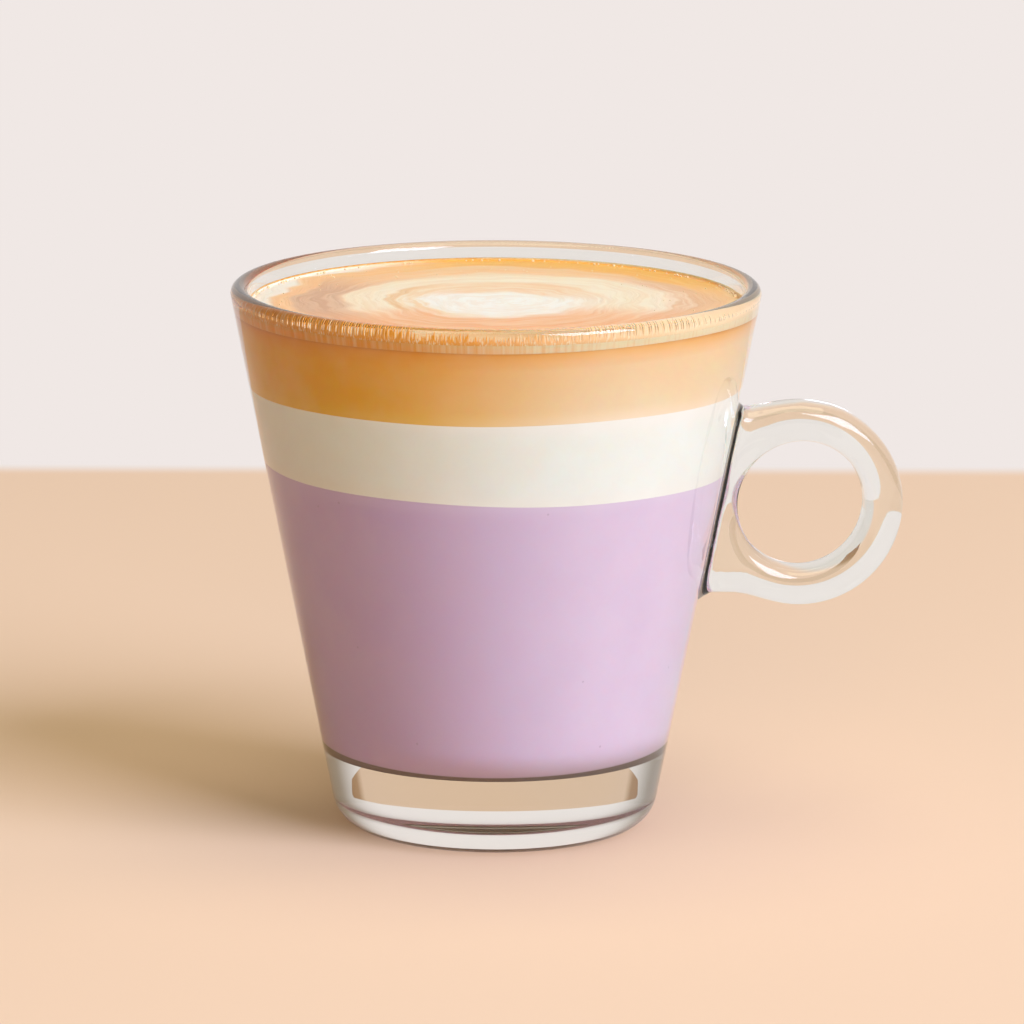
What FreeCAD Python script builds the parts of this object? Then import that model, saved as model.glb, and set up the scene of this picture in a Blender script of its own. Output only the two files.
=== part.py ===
"""Parametric FreeCAD model of an ube latte served in a clear pressed-glass cup with a ring handle.

Millimetres, +Z up. The origin is the centre of the foot, on the surface that the cup stands on,
and the handle points along +X. The cup and its handle are one piece of glass. The drink lies in
it as four layers, each a solid that fills the bowl from wall to wall.
"""

import FreeCAD, Part
import math
import os
import Sketcher

# Driving dimensions: lengths in millimetres, angles in degrees.
SIZES = {
    "rim_diameter": 85.0,  # outside of the rounded rim
    "cup_height": 88.5,  # table to the top of the rim
    "wall_angle": 11.2,  # lean of the conical wall, from vertical
    "wall": 2.8,  # thickness of the wall, square to it
    "base_thickness": 12.7,  # table to the inside bottom
    "foot_corner": 6.0,  # outer rounding between wall and underside
    "bowl_corner": 6.0,  # inner rounding between wall and bottom
    "bearing_ring": 3.5,  # width of the flat ring that the cup stands on
    "underside_rise": 1.2,  # height of the shallow dome pressed into the underside
    "finger_hole": 20.7,  # bore of the ring handle
    "ring_band": 6.2,  # glass between the bore and the outside of the ring
    "handle_width": 8.5,  # size of the handle across, along Y
    "ring_height": 51.9,  # table to the centre of the finger hole
    "web": 3.5,  # glass between the outside of the wall and the bore, at the bore's height
    "upper_step": 0.8,  # drop from the top of the ring to the upper edge of the root
    "lower_step": 2.3,  # rise from the bottom of the ring to the lower edge of the root
    "root_blend": 6.0,  # hollow rounding where those edges run into the ring
    "handle_edge": 2.8,  # rounding of the handle's outer edges
    "root_fillet": 1.5,  # fillet all round the root, where it meets the wall
    "bore_edge": 1.7,  # rounding of the finger hole's edges
    "ube_level": 59.4,  # table to the top of the ube layer
    "milk_level": 72.7,  # table to the top of the milk layer
    "coffee_level": 84.7,  # table to the top of the coffee layer
    "crema_level": 85.6,  # table to the surface of the drink
    "meniscus": 0.5,  # how far the crema creeps up the glass
}

# Terms that several outlines share, as expressions on the sheet's cells.
AXIS = "0"
TABLE = "0"
RIM_ROUND = "Sizes.wall / 2"
RIM_CENTRE_X = f"(Sizes.rim_diameter / 2 - {RIM_ROUND})"
RIM_CENTRE_Z = f"(Sizes.cup_height - {RIM_ROUND})"
BORE_RADIUS = "Sizes.finger_hole / 2"
RING_RADIUS = f"({BORE_RADIUS} + Sizes.ring_band)"
ROOT_TOP = f"(Sizes.ring_height + {RING_RADIUS} - Sizes.upper_step)"
ROOT_BOTTOM = f"(Sizes.ring_height - {RING_RADIUS} + Sizes.lower_step)"

OUTSIDE, MIDDLE, INSIDE = 1, 0, -1
ON_SURFACE = 1e-4  # how near a point has to be, to count as lying on a surface
FULL_TURN = 360.0
EIGHTH_TURN = 45.0


def wall_radius(height, side):
    """Expression for the cup's radius at a height, on the wall's outside, middle or inside."""
    middle = f"{RIM_CENTRE_X} - ({RIM_CENTRE_Z} - ({height})) * tan(Sizes.wall_angle)"
    return f"{middle} + ({side}) * {RIM_ROUND} / cos(Sizes.wall_angle)"


RING_REACH = f"({wall_radius('Sizes.ring_height', OUTSIDE)} + Sizes.web + {BORE_RADIUS})"


def ring_crossing(height):
    """Expression for how far out the ring's outer circle crosses a height, on the cup's side."""
    return f"{RING_REACH} - sqrt({RING_RADIUS}^2 - (({height}) - Sizes.ring_height)^2)"


def make_sheet(doc):
    """The spreadsheet of driving dimensions, one named cell for each."""
    sheet = doc.addObject("Spreadsheet::Sheet", "Sizes")
    for row, (name, value) in enumerate(SIZES.items(), start=1):
        sheet.set(f"A{row}", name)
        sheet.set(f"B{row}", str(value))
        sheet.setAlias(f"B{row}", name)
    doc.recompute()


def make_body(doc, name):
    """A body whose label is its node's name, placed at the cup's origin."""
    body = doc.addObject("PartDesign::Body", name)
    body.Label = name
    body.Placement = FreeCAD.Placement()
    return body


def origin_feature(body, role):
    """One of the body's own origin planes or axes, found by its role."""
    return next(item for item in body.Origin.OriginFeatures if item.Role == role)


def make_sketch(body, name):
    """An empty sketch on the body's XZ plane: its x is the distance from the axis, its y height."""
    sketch = body.newObject("Sketcher::SketchObject", name)
    sketch.AttachmentSupport = (origin_feature(body, "XZ_Plane"), [""])
    sketch.MapMode = "FlatFace"
    return sketch


def number(sketch, expression):
    """The present value of an expression on the sheet."""
    value = sketch.evalExpression(expression)
    return float(getattr(value, "Value", value))


def hold_point(sketch, geometry, end, place):
    """Ties one point of the sketch to a pair of expressions, its distances from the origin."""
    origin = (-1, 1)
    for kind, expression in zip(("DistanceX", "DistanceY"), place):
        value = number(sketch, expression)
        index = sketch.addConstraint(Sketcher.Constraint(kind, *origin, geometry, end, value))
        sketch.setExpression(f"Constraints[{index}]", expression)


def draw_outline(sketch, corners, arcs=None):
    """Draws a closed outline through corners, each a pair of expressions.

    arcs gives, for the number of a side that is round, the pair of expressions of a point that
    the side passes through. The other sides are straight.
    """
    arcs = arcs or {}
    points = [FreeCAD.Vector(*(number(sketch, term) for term in corner), 0) for corner in corners]
    count = len(points)
    sides = []
    for side, start in enumerate(points):
        end = points[(side + 1) % count]
        if side in arcs:
            through = FreeCAD.Vector(*(number(sketch, term) for term in arcs[side]), 0)
            sides.append(sketch.addGeometry(Part.Arc(start, through, end)))
        else:
            sides.append(sketch.addGeometry(Part.LineSegment(start, end)))
    ends = [end_codes(sketch, side, start) for side, start in zip(sides, points)]
    for place, side in enumerate(sides):
        following = (place + 1) % count
        joint = (side, ends[place][1], sides[following], ends[following][0])
        sketch.addConstraint(Sketcher.Constraint("Coincident", *joint))
        hold_point(sketch, side, ends[place][0], corners[place])
    for place, halfway in arcs.items():
        through = FreeCAD.Vector(*(number(sketch, term) for term in halfway), 0)
        mark = sketch.addGeometry(Part.Point(through), True)
        hold_point(sketch, mark, 1, halfway)
        sketch.addConstraint(Sketcher.Constraint("PointOnObject", mark, 1, sides[place]))


def end_codes(sketch, side, start):
    """The sketcher's codes for a side's first and last point, in the outline's own direction."""
    nearer = min((1, 2), key=lambda code: sketch.getPoint(side, code).distanceToPoint(start))
    return (1, 2) if nearer == 1 else (2, 1)


def revolve(body, sketch):
    """Turns a half profile once round the cup's axis."""
    turned = body.newObject("PartDesign::Revolution", f"{sketch.Name}_turned")
    turned.Profile = sketch
    turned.ReferenceAxis = (sketch, ["V_Axis"])
    turned.Angle = FULL_TURN
    return turned


def round_edges(body, base, name, size, chosen):
    """Rounds those edges of a feature that a test chooses, by the radius in a cell of the sheet."""
    body.Document.recompute()
    edges = [
        f"Edge{place}"
        for place, edge in enumerate(base.Shape.Edges, start=1)
        if not edge.Degenerated and chosen(edge)
    ]
    if not edges:
        raise RuntimeError(f"{name}: no edge to round")
    fillet = body.newObject("PartDesign::Fillet", name)
    fillet.Base = (base, edges)
    fillet.setExpression("Radius", f"Sizes.{size}")
    return fillet


def samples(edge, count=5):
    """Points spread evenly along an edge, both ends among them."""
    return edge.discretize(count)


def is_ring(edge, height):
    """Whether an edge is a whole circle that lies at a height."""
    return edge.Closed and all(abs(point.z - height) < ON_SURFACE for point in samples(edge))


def make_cup(doc):
    """The glass: a conical wall on a thick base, with a ring handle pressed in one with it."""
    body = make_body(doc, "glass_cup")
    profile = make_sketch(body, "cup_profile")
    foot_edge = wall_radius(TABLE, OUTSIDE)
    dome_edge = f"({foot_edge} - Sizes.foot_corner - Sizes.bearing_ring)"
    dome_round = f"(({dome_edge}^2 + Sizes.underside_rise^2) / (2 * Sizes.underside_rise))"
    half_dome = f"{dome_edge} / 2"
    lean_x = f"{RIM_ROUND} * cos(Sizes.wall_angle)"
    lean_z = f"{RIM_ROUND} * sin(Sizes.wall_angle)"
    corners = [
        (AXIS, "Sizes.underside_rise"),
        (dome_edge, TABLE),
        (foot_edge, TABLE),
        (f"{RIM_CENTRE_X} + {lean_x}", f"{RIM_CENTRE_Z} - {lean_z}"),
        (f"{RIM_CENTRE_X} - {lean_x}", f"{RIM_CENTRE_Z} + {lean_z}"),
        (wall_radius("Sizes.base_thickness", INSIDE), "Sizes.base_thickness"),
        (AXIS, "Sizes.base_thickness"),
    ]
    dome_height = f"Sizes.underside_rise - {dome_round} + sqrt({dome_round}^2 - ({half_dome})^2)"
    arcs = {0: (half_dome, dome_height), 3: (RIM_CENTRE_X, "Sizes.cup_height")}
    draw_outline(profile, corners, arcs)
    cup = revolve(body, profile)

    foot = round_edges(
        body,
        cup,
        "foot_rounding",
        "foot_corner",
        lambda edge: is_ring(edge, 0.0)
        and edge.Curve.Radius > number(profile, dome_edge) + ON_SURFACE,
    )
    base_thickness = number(profile, "Sizes.base_thickness")
    bowl = round_edges(
        body, foot, "bowl_rounding", "bowl_corner", lambda edge: is_ring(edge, base_thickness)
    )
    return add_handle(body, bowl)


def add_handle(body, cup):
    """The handle: a flat ring on a root that runs into the wall, with its edges well rounded."""
    outline = make_sketch(body, "handle_outline")
    corners = [
        (ring_crossing(ROOT_TOP), ROOT_TOP),
        (ring_crossing(ROOT_BOTTOM), ROOT_BOTTOM),
        (wall_radius(ROOT_BOTTOM, MIDDLE), ROOT_BOTTOM),
        (wall_radius(ROOT_TOP, MIDDLE), ROOT_TOP),
    ]
    draw_outline(outline, corners, {0: (f"{RING_REACH} + {RING_RADIUS}", "Sizes.ring_height")})
    plate = body.newObject("PartDesign::Pad", "handle_plate")
    plate.Profile = outline
    plate.Midplane = True
    plate.setExpression("Length", "Sizes.handle_width")
    body.Document.recompute()

    half_width = number(outline, "Sizes.handle_width / 2")
    crossings = [
        FreeCAD.Vector(number(outline, x), 0, number(outline, z)) for x, z in corners[:2]
    ]

    def runs_into_ring(edge):
        return any(
            all(math.hypot(point.x - place.x, point.z - place.z) < ON_SURFACE
                for point in samples(edge))
            for place in crossings
        )

    blended = round_edges(body, plate, "root_blending", "root_blend", runs_into_ring)

    def on_face(edge):
        return all(abs(abs(point.y) - half_width) < ON_SURFACE for point in samples(edge))

    def on_wall(edge):
        return all(
            abs(math.hypot(point.x, point.y) - number(outline, wall_radius(point.z, OUTSIDE)))
            < ON_SURFACE
            for point in samples(edge)
        )

    def round_root(edge):
        box = edge.BoundBox
        narrow = box.YLength < 2 * half_width + ON_SURFACE
        return on_wall(edge) and not edge.Closed and box.XMin > 0 and narrow

    edged = round_edges(
        body,
        blended,
        "handle_edge_rounding",
        "handle_edge",
        lambda edge: on_face(edge) and not on_wall(edge),
    )
    round_edges(body, edged, "root_filleting", "root_fillet", round_root)

    bore_sketch = make_sketch(body, "finger_hole_circle")
    centre = (RING_REACH, "Sizes.ring_height")
    start = FreeCAD.Vector(*(number(bore_sketch, term) for term in centre), 0)
    radius = number(bore_sketch, BORE_RADIUS)
    circle = bore_sketch.addGeometry(Part.Circle(start, FreeCAD.Vector(0, 0, 1), radius))
    hold_point(bore_sketch, circle, 3, centre)
    index = bore_sketch.addConstraint(Sketcher.Constraint("Radius", circle, radius))
    bore_sketch.setExpression(f"Constraints[{index}]", BORE_RADIUS)
    bore = body.newObject("PartDesign::Pocket", "finger_hole")
    bore.Profile = bore_sketch
    bore.Midplane = True
    bore.setExpression("Length", "2 * Sizes.handle_width")
    round_edges(
        body,
        bore,
        "finger_hole_rounding",
        "bore_edge",
        lambda edge: edge.Closed and on_face(edge),
    )
    return body


def make_layer(doc, name, floor, level, bottom_layer=False, meniscus=None):
    """One layer of the drink, from a floor to a level, out to the inside of the glass."""
    body = make_body(doc, name)
    profile = make_sketch(body, f"{name}_profile")
    top = [(wall_radius(level, INSIDE), level), (AXIS, level)]
    arcs = {}
    if meniscus:
        crept = f"({level} + {meniscus})"
        hollow = f"({wall_radius(crept, INSIDE)} - {meniscus})"
        top = [(wall_radius(crept, INSIDE), crept), (hollow, level), (AXIS, level)]
        middle_x = f"{hollow} + {meniscus} * sin({EIGHTH_TURN})"
        middle_z = f"{level} + {meniscus} * (1 - cos({EIGHTH_TURN}))"
        arcs = {2: (middle_x, middle_z)}
    draw_outline(profile, [(AXIS, floor), (wall_radius(floor, INSIDE), floor), *top], arcs)
    layer = revolve(body, profile)
    if bottom_layer:
        height = number(profile, floor)
        round_edges(
            body, layer, f"{name}_rounding", "bowl_corner", lambda edge: is_ring(edge, height)
        )
    return body


def check(doc, bodies):
    """Stops with a message if any object failed, or if a body has no valid solid."""
    for item in doc.Objects:
        if {"Invalid", "Error"} & set(item.State):
            raise RuntimeError(f"{item.Name} is {item.State}")
    for body in bodies:
        if body.Shape.isNull() or not body.Shape.isValid() or len(body.Shape.Solids) != 1:
            raise RuntimeError(f"{body.Label} is not one valid solid")


def main():
    """Builds the cup and the drink, and writes one STEP file for each piece."""
    doc = FreeCAD.newDocument("ube_latte")
    make_sheet(doc)
    inside_bottom, ube, milk, coffee, crema = (
        f"Sizes.{cell}"
        for cell in ("base_thickness", "ube_level", "milk_level", "coffee_level", "crema_level")
    )
    bodies = [
        make_cup(doc),
        make_layer(doc, "ube_milk", inside_bottom, ube, bottom_layer=True),
        make_layer(doc, "white_milk", ube, milk),
        make_layer(doc, "coffee", milk, coffee),
        make_layer(doc, "crema", coffee, crema, meniscus="Sizes.meniscus"),
    ]
    doc.recompute()
    check(doc, bodies)
    os.makedirs("parts", exist_ok=True)
    for body in bodies:
        body.Shape.exportStep(os.path.join("parts", f"{body.Label}.step"))
        print(body.Label, round(body.Shape.Volume / 1000, 2), "ml", body.Shape.BoundBox)


main()
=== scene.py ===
"""Ube latte in a clear pressed-glass cup with a ring handle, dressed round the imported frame.

Lengths in the classes are millimetres; a mesh is turned to metres when it is made an object.
The cup stands on its foot at the origin, its handle points along +X, and up is +Z.
"""

import logging
import math
from dataclasses import dataclass
from enum import Enum
from functools import partial
from typing import Callable

import bpy
import numpy as np
from bpy.types import Material, Node, NodeSocket, NodeTree, Object
from mathutils import Matrix, Vector


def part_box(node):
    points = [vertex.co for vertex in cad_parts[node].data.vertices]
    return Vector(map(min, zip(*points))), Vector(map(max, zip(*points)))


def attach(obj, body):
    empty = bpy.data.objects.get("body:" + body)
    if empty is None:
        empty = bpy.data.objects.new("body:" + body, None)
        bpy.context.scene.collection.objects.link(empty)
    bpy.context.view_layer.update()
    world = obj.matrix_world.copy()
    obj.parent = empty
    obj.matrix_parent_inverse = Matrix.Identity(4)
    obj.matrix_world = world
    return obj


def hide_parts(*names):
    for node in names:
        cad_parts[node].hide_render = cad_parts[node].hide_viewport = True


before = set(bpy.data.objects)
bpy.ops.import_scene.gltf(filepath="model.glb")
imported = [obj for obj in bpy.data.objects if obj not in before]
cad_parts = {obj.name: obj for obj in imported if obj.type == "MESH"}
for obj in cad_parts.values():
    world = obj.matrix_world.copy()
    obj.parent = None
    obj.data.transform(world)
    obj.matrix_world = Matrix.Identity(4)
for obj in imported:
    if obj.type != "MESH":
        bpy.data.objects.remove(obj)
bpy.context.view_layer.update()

LOG = logging.getLogger("ube_latte")
MM = 0.001
ROOT = "root"
Adder = Callable[..., Node]  # add_node with its tree already given


# ---------------------------------------------------------------- small helpers


def linear(code: str) -> tuple[float, float, float, float]:
    """Turn an sRGB hex code to the linear colour that a shader takes.

    Args:
        code: Six hex digits, such as "F2E6D8".

    Returns:
        Linear red, green, blue and an alpha of 1.
    """
    parts = (int(code[place:place + 2], 16) / 255 for place in (0, 2, 4))
    turned = [part / 12.92 if part <= 0.04045 else ((part + 0.055) / 1.055) ** 2.4 for part in parts]
    return (*turned, 1.0)


def heading(bearing: float) -> tuple[float, float, float]:
    """The level direction of a bearing in degrees, anticlockwise from +X seen from above."""
    turn = math.radians(bearing)
    return math.cos(turn), math.sin(turn), 0.0


def add_node(tree: NodeTree, kind: str, inputs: dict | None = None, **settings) -> Node:
    """Add a node with its settings, its input values and its links.

    Args:
        tree: The tree that gets the node.
        kind: The node's type name, which may leave out ShaderNode.
        inputs: For an input's name or number, a value, or the socket or node that feeds it. A
            name means the input that the settings leave open, and a node feeds by its first
            open output.
        **settings: The node's own properties.

    Returns:
        The new node.
    """
    node = tree.nodes.new(kind if "Node" in kind else "ShaderNode" + kind)
    for name, value in settings.items():
        setattr(node, name, value)
    for key, value in (inputs or {}).items():
        if isinstance(key, str):
            key = next(i for i, socket in enumerate(node.inputs) if socket.enabled and socket.name == key)
        if isinstance(value, Node):
            value = next(socket for socket in value.outputs if socket.enabled)
        if isinstance(value, NodeSocket):
            tree.links.new(value, node.inputs[key])
        else:
            node.inputs[key].default_value = value
    return node


def set_ramp(node: Node, stops: list[tuple[float, str]]) -> None:
    """Give a colour ramp its stops.

    Args:
        node: The ramp.
        stops: Pairs of a place from 0 to 1 and an sRGB hex code, in rising order.
    """
    elements = node.color_ramp.elements
    while len(elements) < len(stops):
        elements.new(1.0)
    for element, (place, code) in zip(elements, stops):
        element.position = place
        element.color = linear(code)


def new_material(name: str) -> tuple[Material, Adder]:
    """Make an empty node material.

    Args:
        name: The material's name.

    Returns:
        The material, and what adds nodes to its emptied tree.
    """
    material = bpy.data.materials.new(name)
    material.use_nodes = True
    material.node_tree.nodes.clear()
    return material, partial(add_node, material.node_tree)


def shows_background(add: Adder, path: Node) -> Node:
    """Tell the rays that should see the plain background: camera, mirrored and through glass.

    Args:
        add: Adds a node to the tree.
        path: The tree's Light Path node.

    Returns:
        A node that gives 1 for such a ray and 0 for the others.
    """
    seen = path.outputs["Is Camera Ray"]
    for ray in ("Is Glossy Ray", "Is Transmission Ray"):
        seen = add("Math", {0: seen, 1: path.outputs[ray]}, operation="MAXIMUM")
    return seen


def put(name: str, data: bpy.types.ID) -> Object:
    """Make an object of its data and put it in the scene.

    Args:
        name: The object's name.
        data: Its mesh, lamp or camera data.

    Returns:
        The object.
    """
    made = bpy.data.objects.new(name, data)
    bpy.context.scene.collection.objects.link(made)
    return made


def add_piece(name: str, points: np.ndarray, faces: list, material: Material,
              marks: dict[str, np.ndarray] | None = None) -> Object:
    """Make a smooth mesh object from points in millimetres.

    Args:
        name: The object's name.
        points: One row of x, y and z for each vertex.
        faces: Vertex numbers of each face, seen from outside in anticlockwise order.
        material: Its only material.
        marks: Named values, one for each vertex, that the material reads.

    Returns:
        The object, at the origin.
    """
    mesh = bpy.data.meshes.new(name)
    mesh.from_pydata((points * MM).tolist(), [], faces)
    mesh.validate()
    mesh.polygons.foreach_set("use_smooth", [True] * len(mesh.polygons))
    for mark, values in (marks or {}).items():
        attribute = mesh.attributes.new(mark, "FLOAT", "POINT")
        attribute.data.foreach_set("value", np.asarray(values, np.float32))
    mesh.materials.append(material)
    mesh.update()
    return put(name, mesh)


def seat(piece: Object, slot: str, *nodes: str) -> None:
    """Let a piece ride on the cup, log the slot meant for it, and let it stand for CAD nodes.

    Args:
        piece: The finished piece.
        slot: The record's material slot.
        *nodes: The CAD nodes that it replaces.
    """
    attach(piece, ROOT)
    if nodes:
        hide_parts(*nodes)
    triangles = sum(len(face.vertices) - 2 for face in piece.data.polygons)
    LOG.info("%s: %d triangles, slot %s, replaces %s", piece.name, triangles, slot, nodes or "nothing")


def arc(centre: tuple[float, float], radius: float, start: float, end: float, steps: int) -> list:
    """Points along an arc in the half plane of radius and height, both ends among them.

    Args:
        centre: The arc's centre.
        radius: Its radius.
        start: Angle of the first point, in degrees from outwards, rising upwards.
        end: Angle of the last point.
        steps: How many equal steps lead from one to the other.

    Returns:
        Pairs of radius and height.
    """
    angles = np.radians(np.linspace(start, end, steps + 1))
    return [(centre[0] + radius * math.cos(a), centre[1] + radius * math.sin(a)) for a in angles]


def run(start: tuple[float, float], end: tuple[float, float], steps: int) -> list:
    """Points along a straight run, its first end left out.

    Args:
        start: The end that is left out.
        end: The end that comes last.
        steps: How many equal steps lead there.

    Returns:
        Pairs of radius and height.
    """
    shares = np.arange(1, steps + 1) / steps
    return [tuple(np.array(start) + share * (np.array(end) - np.array(start))) for share in shares]


def lathe(rows: np.ndarray, segments: int) -> tuple[np.ndarray, list]:
    """Turn a half profile once round the axis, with a point closing it at each end.

    Args:
        rows: Radius and height of each ring, from the lower pole round the outside; the first
            and last lie on the axis.
        segments: How many steps go round.

    Returns:
        The points, ring by ring with the two poles last, and the faces, facing outwards.
    """
    turn = np.arange(segments) * 2 * math.pi / segments
    rings = rows[1:-1]
    points = np.stack([
        rings[:, :1] * np.cos(turn), rings[:, :1] * np.sin(turn), np.repeat(rings[:, 1:], segments, 1)
    ], -1).reshape(-1, 3)
    points = np.vstack([points, [[0, 0, rows[0, 1]], [0, 0, rows[-1, 1]]]])
    low, high, last = len(points) - 2, len(points) - 1, (len(rings) - 1) * segments
    faces = [
        (i * segments + j, i * segments + (j + 1) % segments,
         (i + 1) * segments + (j + 1) % segments, (i + 1) * segments + j)
        for i in range(len(rings) - 1) for j in range(segments)
    ]
    faces += [(low, (j + 1) % segments, j) for j in range(segments)]
    faces += [(high, last + j, last + (j + 1) % segments) for j in range(segments)]
    return points, faces


# ---------------------------------------------------------------- finishes


class Layer(Enum):
    """The drink's layers, from the bottom up, by the names of their CAD nodes."""

    UBE = "ube_milk"
    MILK = "white_milk"
    COFFEE = "coffee"
    CREMA = "crema"


@dataclass(frozen=True)
class PressedGlass:
    """Soda-lime glass, pressed in a mould and fire-polished: clear, with a trace of grey-green.

    Its surface is smooth but not quite true, so what is seen through it wavers a little.
    """

    name: str = "soda_lime_glass_pressed"
    tint: str = "FBFDFA"
    lamp_tint: str = "F4F4F0"
    index: float = 1.5
    ripple: float = 14.0
    ripple_height: float = 0.01

    def make(self) -> Material:
        """Build the material: glass to the eye, plain clear to light on its way to the drink.

        Returns:
            The material.
        """
        material, add = new_material(self.name)
        place = add("TexCoord").outputs["Object"]
        noise = add("TexNoise", {
            "Vector": place, "Scale": 1 / (self.ripple * MM), "Detail": 1.0, "Roughness": 0.4,
        })
        bump = add("Bump", {"Height": noise, "Distance": self.ripple_height * MM})
        glass = add("BsdfPrincipled", {
            "Base Color": linear(self.tint), "Roughness": 0.0, "IOR": self.index,
            "Transmission Weight": 1.0, "Normal": bump,
        })
        clear = add("BsdfTransparent", {"Color": linear(self.lamp_tint)})
        path = add("LightPath").outputs
        lit = add("Math", {0: path["Is Shadow Ray"], 1: path["Is Diffuse Ray"]}, operation="MAXIMUM")
        mixed = add("MixShader", {0: lit, 1: glass, 2: clear})
        add("OutputMaterial", {"Surface": mixed})
        return material


@dataclass(frozen=True)
class AgainstGlass:
    """How light is mirrored where a milky liquid lies against glass, by the piece's "wet" mark.

    Light that meets the liquid at a flat angle goes back into the wall, as it does where glass
    meets a liquid, and that darkens the rim and the handle's root. A ray mirrored a second time
    ends on a matt olive-grey, painted shade for the light trapped in the wall. The index is the
    liquid's over the glass's.
    """

    index: float = 0.9
    share: float = 0.9
    mirror: str = "E8E6DE"
    # Painted shade: the matt olive-grey that a ray mirrored a second time meets.
    trapped_shade: str = "7E6F5B"

    def cover(self, add: Adder, body: Node) -> Node:
        """Lay the mirrored light over a liquid's own shader.

        Args:
            add: Adds a node to the material's tree.
            body: The liquid's own shader.

        Returns:
            The shader for the output.
        """
        wet = add("Attribute", attribute_name="wet").outputs["Fac"]
        share = add("Fresnel", {"IOR": self.index})
        for part in (wet, self.share):
            share = add("Math", {0: share, 1: part}, operation="MULTIPLY")
        mirror = add("BsdfGlossy", {"Color": linear(self.mirror), "Roughness": 0.0})
        # Painted shade: a ray mirrored here once already meets a matt olive-grey, for light trapped in the
        # wall.
        trapped_shade = add("BsdfDiffuse", {"Color": linear(self.trapped_shade)})
        wall_light = add("MixShader", {
            0: add("LightPath").outputs["Is Glossy Ray"], 1: mirror, 2: trapped_shade,
        })
        return add("MixShader", {0: share, 1: body, 2: wall_light})


@dataclass(frozen=True)
class MilkDrink:
    """A layer of milk drink seen through the glass: soft, scattering, tinted by what is in it.

    The colours run from the layer's bottom to its top, at heights in millimetres. A shade tint,
    where given, is multiplied in towards -X, away from the key lamp: painted shade. Light scatters
    in it only away from its top and bottom, so that no layer's colour bleeds into the next. Its
    bubble pits are shares of their spacing across, and most of them are left out.
    """

    name: str
    rise: tuple[tuple[float, str], ...]
    depth: float
    scatter: tuple[float, float, float]
    scatter_length: float
    mottle: str
    mottle_share: float
    # Painted shade: a darker, deeper tint for the side away from the key lamp, its bearing and its reach.
    shade_tint: str = ""
    pinhole: str = ""
    shaded_side: float = 186.0
    shade_tint_reach: tuple[float, float] = (-14.0, 30.0)
    cloud: float = 9.0
    cloud_noise: tuple[float, float] = (0.4, 0.75)
    pit_spacing: float = 4.2
    pit_size: tuple[float, float] = (0.06, 0.03)
    pit_share: float = 0.4
    pits_left_out: float = 0.6
    soft_from: tuple[float, float] = (0.6, 2.6)
    gloss: float = 0.1

    def make(self) -> Material:
        """Build the material, with cloudy mottling and, where it has them, tiny bubble pits.

        Returns:
            The material.
        """
        material, add = new_material(self.name)
        place = add("TexCoord").outputs["Object"]
        rise = add("Attribute", attribute_name="rise").outputs["Fac"]
        share = add("Math", {0: rise, 1: self.depth}, operation="DIVIDE")
        shown = add("ValToRGB", {"Fac": share})
        set_ramp(shown, [(height / self.depth, code) for height, code in self.rise])
        # Painted shade: towards -X, away from the key lamp, the colour is multiplied by a darker, deeper
        # tint.
        if self.shade_tint:
            towards = add("VectorMath", {0: place, 1: heading(self.shaded_side)}, operation="DOT_PRODUCT")
            side = add("MapRange", {
                "Value": towards, "From Min": self.shade_tint_reach[0] * MM,
                "From Max": self.shade_tint_reach[1] * MM,
            }, interpolation_type="SMOOTHSTEP")
            shown = add("Mix", {
                "Factor": side, "A": shown, "B": linear(self.shade_tint),
            }, data_type="RGBA", blend_type="MULTIPLY")
        cloud = add("TexNoise", {
            "Vector": place, "Scale": 1 / (self.cloud * MM), "Detail": 3.0, "Roughness": 0.5,
        })
        cloudy = add("MapRange", {
            "Value": cloud, "From Min": self.cloud_noise[0], "From Max": self.cloud_noise[1],
            "To Max": self.mottle_share,
        })
        shown = add("Mix", {"Factor": cloudy, "A": shown, "B": linear(self.mottle)}, data_type="RGBA")
        if self.pinhole:
            cells = add("TexVoronoi", {"Vector": place, "Scale": 1 / (self.pit_spacing * MM)})
            dots = add("MapRange", {
                "Value": cells, "From Min": self.pit_size[0], "From Max": self.pit_size[1],
                "To Max": self.pit_share,
            })
            some = add("Math", {
                0: cells.outputs["Color"], 1: self.pits_left_out,
            }, operation="GREATER_THAN")
            few = add("Math", {0: dots, 1: some}, operation="MULTIPLY")
            shown = add("Mix", {"Factor": few, "A": shown, "B": linear(self.pinhole)}, data_type="RGBA")
        below_top = add("Math", {0: self.depth, 1: rise}, operation="SUBTRACT")
        inside = add("Math", {0: below_top, 1: rise}, operation="MINIMUM")
        soft = add("MapRange", {
            "Value": inside, "From Min": self.soft_from[0], "From Max": self.soft_from[1],
        }, interpolation_type="SMOOTHSTEP")
        body = add("BsdfPrincipled", {
            "Base Color": shown, "Roughness": 0.5, "IOR": 1.35, "Specular IOR Level": self.gloss,
            "Subsurface Weight": soft, "Subsurface Radius": self.scatter,
            "Subsurface Scale": self.scatter_length * MM,
        })
        add("OutputMaterial", {"Surface": AgainstGlass().cover(add, body)})
        return material


@dataclass(frozen=True)
class Stroke:
    """One sweep of colour round the latte art: where it runs, how wide, and how it fades out.

    Radii are millimetres from the middle of the swirl. Bearings are degrees, anticlockwise seen
    from above, with 90 at the far side. The last two say how much of it covers what is below,
    and how far the streaks of the turn break it up.
    """

    colour: str
    radius: float
    half: float
    soft: float
    bearing: float
    spread: float
    fade: float
    share: float
    drawn: float


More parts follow.
